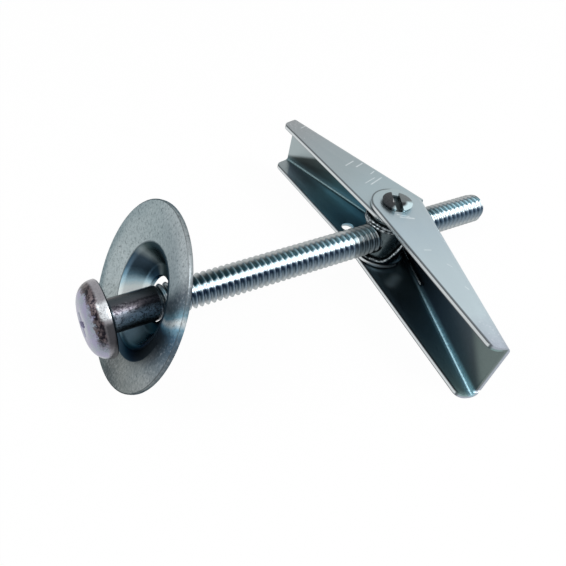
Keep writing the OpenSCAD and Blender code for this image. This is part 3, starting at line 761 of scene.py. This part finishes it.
def nut_finish():
    """Turned steel in painted shade, with staked ends that carry painted highlights."""
    made = Finish("turned nut", roughness=0.28)
    point = made.place(RIGHT_WING)
    u, v, z = made.split(point)
    grain = made.noise(point, 3.0)
    near_face = MIDDLE_Z + HALF_WIDTH["right"]
    barrel = made.mix(grain, BARREL_DARK, BARREL_PALE)
    on_end = made.step(z, near_face - 0.3, near_face)
    made.feed("Base Color", made.mix(on_end, barrel, staked_end(made, u, v, grain)))
    made.feed("Roughness", grain * 0.2 + 0.18)
    return made.material


FINISH["trunnion_nut"] = nut_finish()
print(FINISH["trunnion_nut"].name, len(FINISH["trunnion_nut"].node_tree.nodes), "nodes")

# %% [markdown]
# Spring wire is drawn through a die and wound in oil: bright, with dark where the oil has stained
# it. The wire is thin, so two tones and a coarse noise are enough.

# %% Spring finish
WIRE_DARK, WIRE_BRIGHT = (0.05, 0.06, 0.065), (0.34, 0.38, 0.40)


def spring_finish():
    """Bright drawn wire with dark stains."""
    made = Finish("spring wire", roughness=0.2)
    grain = made.noise(made.place(BOLT), 1.6)
    made.feed("Base Color", made.mix(made.step(grain, 0.4, 0.65), WIRE_DARK, WIRE_BRIGHT))
    return made.material


FINISH["spring"] = spring_finish()
print(FINISH["spring"].name, len(FINISH["spring"].node_tree.nodes), "nodes")

# %% [markdown]
# The nodes of the frame are loose triangles with knife-sharp corners. A copy with its triangles
# merged can take a Bevel, which gives sheared sheet its rounded, light-catching edges. The triangles
# of a flat face are joined first, because a bevel comes out clean only where whole faces meet.

# %% Rounded copies of the frame's nodes
MERGE_MM = 0.002
FLAT_DEGREES, BEVEL_DEGREES, SHARP_DEGREES = 0.6, 32.0, 28.0
SHEET_ROUNDING, PRESSED_ROUNDING, HEAD_ROUNDING = 0.14, 0.05, 0.12


def add_to_scene(name, data):
    """A new object of the scene from a mesh, a lamp or a camera."""
    obj = bpy.data.objects.new(name, data)
    bpy.context.scene.collection.objects.link(obj)
    return obj


def settled(obj, name):
    """Turns an object and its modifiers into one plain mesh at the origin."""
    graph = bpy.context.evaluated_depsgraph_get()
    mesh = bpy.data.meshes.new_from_object(obj.evaluated_get(graph))
    old = obj.data
    obj.modifiers.clear()
    obj.data = mesh
    mesh.name = name
    bpy.data.meshes.remove(old)
    return obj


def merged_copy(node, cut=None):
    """A node's mesh with its triangles joined and its flat faces whole."""
    mesh = frame["nodes"][node].data.copy()
    shape = bmesh.new()
    shape.from_mesh(mesh)
    bmesh.ops.remove_doubles(shape, verts=shape.verts, dist=MERGE_MM * MM)
    bmesh.ops.dissolve_limit(
        shape, angle_limit=math.radians(FLAT_DEGREES), verts=shape.verts, edges=shape.edges
    )
    if cut:
        cut(shape)
    shape.to_mesh(mesh)
    shape.free()
    mesh.materials.clear()
    mesh.materials.append(FINISH[node])
    return mesh


def rounded_copy(node, width, cut=None):
    """A dressed copy of a node with its edges rounded by a width in millimetres."""
    obj = add_to_scene(node + "_body", merged_copy(node, cut))
    bevel = obj.modifiers.new("rounded edges", "BEVEL")
    bevel.width = width * MM
    bevel.segments = 3
    bevel.limit_method = "ANGLE"
    bevel.angle_limit = math.radians(BEVEL_DEGREES)
    settled(obj, node + "_body")
    obj.data.shade_smooth()
    obj.data.set_sharp_from_angle(angle=math.radians(SHARP_DEGREES))
    return obj


# Node, body that it rides on, slot and rounding
DRESSED = [
    ("wing_left", "wing_left", "wing_zinc", SHEET_ROUNDING),
    ("wing_right", "wing_right", "wing_zinc", SHEET_ROUNDING),
    ("washer", "washer", "washer_zinc", PRESSED_ROUNDING),
    ("trunnion_nut", "nut", "nut_steel", SHEET_ROUNDING),
]
for node, body, slot, rounding in DRESSED:
    piece = rounded_copy(node, rounding)
    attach(piece, body)
    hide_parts(node)
    print(piece.name, len(piece.data.polygons), "faces")

# %% [markdown]
# The thread and the spring are grown in Geometry Nodes, where a size is a named input that can be
# changed later. Both trees start from their inputs and end in the same nodes. A grown piece gets
# its sizes through the modifier's sockets, and then becomes a plain mesh, because only a plain mesh
# may ride on a body of the frame.

# %% Growing geometry
def geometry_tree(name, sizes, takes_mesh=False):
    """An empty geometry tree with named inputs, and a signal for each of them."""
    group = bpy.data.node_groups.new(name, "GeometryNodeTree")
    kinds = {"Geometry": "NodeSocketGeometry"} if takes_mesh else {}
    kinds.update({size: "NodeSocketFloat" for size in sizes})
    for socket, kind in kinds.items():
        group.interface.new_socket(socket, in_out="INPUT", socket_type=kind)
    group.interface.new_socket("Geometry", in_out="OUTPUT", socket_type="NodeSocketGeometry")
    made = Tree(group)
    start = made.node("NodeGroupInput")
    return made, [made.also(start, socket) for socket in kinds]


def finish_geometry(made, shape, material):
    """Smooth, realized and dressed: how every grown piece ends."""
    smooth = made.node("GeometryNodeSetShadeSmooth", None, {"Geometry": shape})
    real = made.node("GeometryNodeRealizeInstances", None, {"Geometry": smooth})
    inputs = {"Geometry": real, "Material": material}
    made.end(made.node("GeometryNodeSetMaterial", None, inputs), "NodeGroupOutput")
    return made.tree


def grown(name, group, sizes, directions, start_mesh=None):
    """Plain mesh that a tree makes from its sizes, placed in the frame."""
    obj = add_to_scene(name, start_mesh or bpy.data.meshes.new(name))
    modifier = obj.modifiers.new(name, "NODES")
    modifier.node_group = group
    for item in group.interface.items_tree:
        if item.item_type == "SOCKET" and item.in_out == "INPUT" and item.name in sizes:
            modifier[item.identifier] = float(sizes[item.name])
    settled(obj, name)
    obj.data.transform(directions)
    return obj


print("geometry trees end in Realize Instances and Set Material")

# %% [markdown]
# The thread is a rule, not a drawing: the radius rises and falls once a pitch while the row of
# points climbs one pitch a turn. A flat grid of points, bent by that rule, gives a closed skin with
# its runout at the shank and its chamfer at the tip. A profile swept along a helix would make a
# thread as well, but its ends would stay open.

# %% Thread
THREAD_START, PITCH, CHAMFER = 9.3, 1.27, 0.9
THREAD_LEN = BOLT_LENGTH - THREAD_START
ROWS, AROUND = 8, 40  # points in a pitch, points in a turn
ROOT_FLAT, FLANK_SHARE = 0.25, 0.625  # shares of half a pitch; the rest is the crest's flat
RUNOUT_PITCHES = 1.5
JOIN_MM = 0.0005


def thread_radius(row, x, pitch, crest, root, length, chamfer):
    """Height of the thread at a row, with its runout and its chamfer."""
    height = ((row.math("FRACT") - 0.5).math("ABSOLUTE") * 2.0 - ROOT_FLAT) / FLANK_SHARE
    runout = (x / (pitch * RUNOUT_PITCHES)).clamp()
    radius = crest - (1.0 - height.clamp()) * (crest - root) * runout
    return radius.math("MINIMUM", crest - chamfer + length - x)


def thread_tree():
    """A grid whose rows climb one pitch a turn; past both ends it closes onto the axis."""
    sizes = ("Pitch", "Crest Radius", "Root Radius", "Length", "Chamfer")
    made, (pitch, crest, root, length, chamfer) = geometry_tree("rolled thread", sizes)
    turns = math.ceil(THREAD_LEN / PITCH) + 3
    points = {"Vertices X": turns * ROWS + 1, "Vertices Y": AROUND + 1}
    grid = made.node("GeometryNodeMeshGrid", None, {"Size X": 1.0, "Size Y": 1.0, **points})
    gx, gy, _ = made.split(made.node("GeometryNodeInputPosition"))
    row = (gx + 0.5) * turns - 2.0
    turn = gy + 0.5
    reach = (row + turn) * pitch
    x = reach.math("MAXIMUM", 0.0).math("MINIMUM", length)
    radius = thread_radius(row, x, pitch, crest, root, length, chamfer)
    radius = radius * (1.0 - reach.math("GREATER_THAN", length + pitch * 0.5))
    radius = radius * (1.0 - reach.math("LESS_THAN", pitch * -0.5))
    angle = turn * math.tau
    y, z = radius * angle.math("COSINE"), radius * angle.math("SINE")
    bent = made.node("ShaderNodeCombineXYZ", None, {0: x, 1: y, 2: z})
    moved = made.node("GeometryNodeSetPosition", None, {"Geometry": grid, "Position": bent})
    join = {"Geometry": moved, "Distance": JOIN_MM}
    joined = made.node("GeometryNodeMergeByDistance", None, join)
    return finish_geometry(made, joined, FINISH["bolt"])


thread_sizes = {"Pitch": PITCH, "Crest Radius": CREST, "Root Radius": ROOT, "Chamfer": CHAMFER}
thread_sizes["Length"] = THREAD_LEN
thread_place = BOLT @ Matrix.Translation((THREAD_START, 0, 0))
thread = grown("thread", thread_tree(), thread_sizes, thread_place)
print("thread:", len(thread.data.polygons), "faces")

# %% [markdown]
# The frame's bolt carries a coarse thread of its own, which would show through the finer one. Its
# head and shank are good as they are, so the copy is cut just past the start of the thread and
# closed there. The two pieces overlap a little, so no gap shows between them, and both ride on the
# bolt.

# %% Head and shank
CUT_OVERLAP = 0.2


def keep_head_end(shape):
    """Cuts the plain bolt off where its thread begins, and closes the cut."""
    cut = bmesh.ops.bisect_plane(
        shape,
        geom=[*shape.verts, *shape.edges, *shape.faces],
        plane_co=BOLT @ Vector((THREAD_START + CUT_OVERLAP, 0, 0)),
        plane_no=along,
        clear_outer=True,
    )
    edges = [item for item in cut["geom_cut"] if isinstance(item, bmesh.types.BMEdge)]
    bmesh.ops.contextual_create(shape, geom=edges)


bolt = rounded_copy("bolt", HEAD_ROUNDING, keep_head_end)
for piece, name in ((bolt, "head_and_shank"), (thread, "thread")):
    piece.name = name
    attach(piece, "bolt")
    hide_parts("bolt")
    print(piece.name, len(piece.data.polygons), "faces")

# %% [markdown]
# A torsion spring is wound round the barrel, crosses over the bolt, and ends in two straight legs
# that press on the wings' webs. A tree sweeps a circle along a line of points, which gives round
# wire. As the wings turn and the coil doesn't, the spring is three pieces: each leg rides with its
# wing and slides in the last turns of the coil.

# %% Round wire
WIRE_SIDES = 16
WIRE_R, COIL_R = 0.35, 5.0


def wire_tree():
    """A circle swept along a line of points."""
    made, (points, radius) = geometry_tree("round wire", ("Wire Radius",), takes_mesh=True)
    curve = made.node("GeometryNodeMeshToCurve", None, {"Mesh": points})
    circle = {"Resolution": WIRE_SIDES, "Radius": radius}
    ring = made.node("GeometryNodeCurvePrimitiveCircle", None, circle)
    sweep = {"Curve": curve, "Profile Curve": ring, "Fill Caps": True}
    tube = made.node("GeometryNodeCurveToMesh", None, sweep)
    return finish_geometry(made, tube, FINISH["spring"])


WIRE_TREE = wire_tree()
print("wire is", 2 * WIRE_R, "mm thick")

# %% [markdown]
# The coil's height is a rule of its angle: a flat turn below the bolt, a smooth climb past it, and
# close turns above. A leg leaves the coil along a tangent, so that the wire has no kink. Each leg's
# angle follows from its wing's sweep and from the gap between the wire and the web.

# %% Spring
COIL_GAP, TURN_PITCH = 3.605, 0.72  # coil's height off the bolt's axis, and between its turns
CROSS_FROM, CROSS_TO = 232.0, 308.0  # degrees where the wire climbs past the bolt
LEG_REACH, LEG_GAP = 12.0, 0.08
TURNS = 3


def coil_height(angle):
    """Height along the trunnions, level at both ends of the climb."""
    if angle < CROSS_FROM:
        return -COIL_GAP
    if angle < CROSS_TO:
        k = (angle - CROSS_FROM) / (CROSS_TO - CROSS_FROM)
        return -COIL_GAP + 2 * COIL_GAP * k * k * (3 - 2 * k)
    return COIL_GAP + TURN_PITCH * (angle - CROSS_TO) / 360


def coil_point(angle):
    """Point on the coil at an angle in degrees."""
    turned = math.radians(angle)
    x = PIVOT_X + COIL_R * math.cos(turned)
    return Vector((x, COIL_R * math.sin(turned), coil_height(angle)))


def coil(start, end, step=8.0):
    """Points on the coil from one angle to another."""
    count = max(2, math.ceil((end - start) / step))
    return [coil_point(start + (end - start) * i / count) for i in range(count + 1)]


def leg_seat(side):
    """Middle of the wire where it lies along a wing's web, across the wing."""
    return WEB[side] - SHEET - WIRE_R - LEG_GAP


def leg_end(side, hand, sweep, height):
    """Far end of a leg; hand is 1 for the left wing and -1 for the right one."""
    v = leg_seat(side)
    x = PIVOT_X - LEG_REACH * math.sin(sweep) + v * math.cos(sweep)
    y = hand * (LEG_REACH * math.cos(sweep) + v * math.sin(sweep))
    return Vector((x, y, height))


def leg_lean(side):
    """Angle between a wing and the tangent that its leg leaves the coil on."""
    v = leg_seat(side)
    return math.atan2(v, LEG_REACH) - math.asin(COIL_R / math.hypot(LEG_REACH, v))


def wire(name, points, body):
    """Wire along points, riding on a body."""
    mesh = bpy.data.meshes.new(name)
    mesh.from_pydata(points, [(i, i + 1) for i in range(len(points) - 1)], [])
    piece = grown(name, WIRE_TREE, {"Wire Radius": WIRE_R}, BOLT, mesh)
    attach(piece, body)
    print(piece.name, len(piece.data.polygons), "faces")
    return piece


right_leave = -math.degrees(RIGHT_SWEEP - leg_lean("right"))
left_leave = math.degrees(LEFT_SWEEP - leg_lean("left")) + 360 * TURNS
right_leg = [leg_end("right", -1, RIGHT_SWEEP, -COIL_GAP), *coil(right_leave, 220)]
left_end = leg_end("left", 1, LEFT_SWEEP, coil_height(left_leave))
left_leg = [*coil(left_leave - 150, left_leave), left_end]
middle = wire("spring_coil", coil(150, left_leave - 60), "nut")
wire("spring_leg_right", right_leg, "wing_right")
wire("spring_leg_left", left_leg, "wing_left")
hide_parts("spring")

# %% [markdown]
# The part is shown on plain white. Zinc is a mirror, and in a real white tent it would mirror the
# tent, so the world is white for whatever looks at it or mirrors it. As a light it is only about
# half as strong. Otherwise it would drown the lamps, and with them the shades inside the wings.

# %% Background
WHITE = (1, 1, 1, 1)
AMBIENT = 0.55


def looked_at(made):
    """1 on rays that show or mirror a surface, and 0 on rays that only light one."""
    camera_ray = made.node("ShaderNodeLightPath", None, None, "Is Camera Ray")
    mirrored = made.also(camera_ray, "Is Glossy Ray")
    return (camera_ray + mirrored + made.also(camera_ray, "Is Transmission Ray")).clamp()


def background():
    """White where it is looked at or mirrored, plain soft light elsewhere."""
    world = bpy.data.worlds.new("studio")
    bpy.context.scene.world = world
    world.use_nodes = True
    made = Tree(world.node_tree)
    made.tree.nodes.clear()
    strength = looked_at(made) * (1.0 - AMBIENT) + AMBIENT
    light = made.node("ShaderNodeBackground", None, {"Color": WHITE, "Strength": strength})
    made.end(light, "ShaderNodeOutputWorld")


background()
print("background lights at", AMBIENT, "of its white")

# %% [markdown]
# The floor has to catch a shadow and still be as white as the background. A plain floor would be
# grey, and its horizon would show. So it is nearly all white light to whatever looks at it, and the
# last few percent are a matt surface that takes the shadow. It lies just below the part, which
# keeps the two from flickering where they touch.

# %% Floor
FLOOR_HALF, FLOOR_Z = 3.0, -0.0002
FLOOR_GREY = (0.9, 0.9, 0.9, 1)
FLOOR_WHITE = 0.97


def floor():
    """White square that still takes a faint shadow."""
    half = FLOOR_HALF
    mesh = bpy.data.meshes.new("floor")
    corners = [(-half, -half, 0), (half, -half, 0), (half, half, 0), (-half, half, 0)]
    mesh.from_pydata(corners, [], [(0, 1, 2, 3)])
    made = Finish("pale floor", metallic=0.0, roughness=0.9)
    made.shader.inputs["Base Color"].default_value = FLOOR_GREY
    output = next(n for n in made.tree.nodes if n.type == "OUTPUT_MATERIAL")
    white = made.node("ShaderNodeEmission", None, {"Color": WHITE, "Strength": 1.0})
    matt = Signal(made, made.shader.outputs[0])
    share = looked_at(made) * FLOOR_WHITE
    mixed = made.node("ShaderNodeMixShader", None, {0: share, 1: matt, 2: white})
    made.tree.links.new(mixed.socket, output.inputs[0])
    mesh.materials.append(made.material)
    obj = add_to_scene("floor", mesh)
    obj.location.z = FLOOR_Z


floor()
print("floor at", FLOOR_Z, "m")

# %% [markdown]
# Two square softboxes light the part from above. The key hangs on the camera's right and draws the
# bright flanks. The fill is larger, hangs on the left, and softens the shades. A sun would be
# simpler, but its shadows are hard-edged.

# %% Lamps
# Name, place and size in metres, power in watts
LAMPS = [
    ("key", (0.22, -0.26, 0.37), 0.16, 1.2),
    ("fill", (-0.35, 0.1, 0.4), 0.3, 0.8),
]


def lamp(name, place, size, watts):
    """A square softbox that points at the trunnions."""
    data = bpy.data.lights.new(name, "AREA")
    data.size = size
    data.energy = watts
    obj = add_to_scene(name, data)
    obj.location = place
    obj.rotation_euler = (pivot - Vector(place)).to_track_quat("-Z", "Y").to_euler()


for settings in LAMPS:
    lamp(*settings)
    print(settings[0], "softbox,", settings[3], "W")

# %% [markdown]
# The camera stands close, above the head's side of the part, so the near parts look larger. Its
# place and direction are fitted against the bolt's own lengths, so they are kept in the bolt's
# directions. The shift frames the part off the lens's middle, as a cropped view would.

# %% Camera
EYE = Vector((-16.41, -61.21, 72.66))  # millimetres, in the bolt's directions
LOOK = Vector((0.3617, 0.6051, -0.7093))  # the way the lens faces
UP = Vector((0.2661, 0.6621, 0.7006))  # the way the top of the view faces
LENS, SENSOR, SHIFT = 34.74, 36.0, 0.129
NEAR_CLIP = 0.002


def camera():
    """Camera at the fitted place, looking along the fitted way."""
    data = bpy.data.cameras.new("camera")
    data.lens = LENS
    data.sensor_width = SENSOR
    data.shift_x = SHIFT
    data.clip_start = NEAR_CLIP
    obj = add_to_scene("camera", data)
    turned = BOLT.to_3x3() @ Matrix((LOOK.cross(UP), UP, -LOOK)).transposed()
    obj.matrix_world = Matrix.LocRotScale(BOLT @ EYE, turned.normalized().to_quaternion(), None)
    bpy.context.scene.camera = obj


camera()
bpy.context.scene.view_settings.view_transform = "Standard"
print("camera:", LENS, "mm lens")
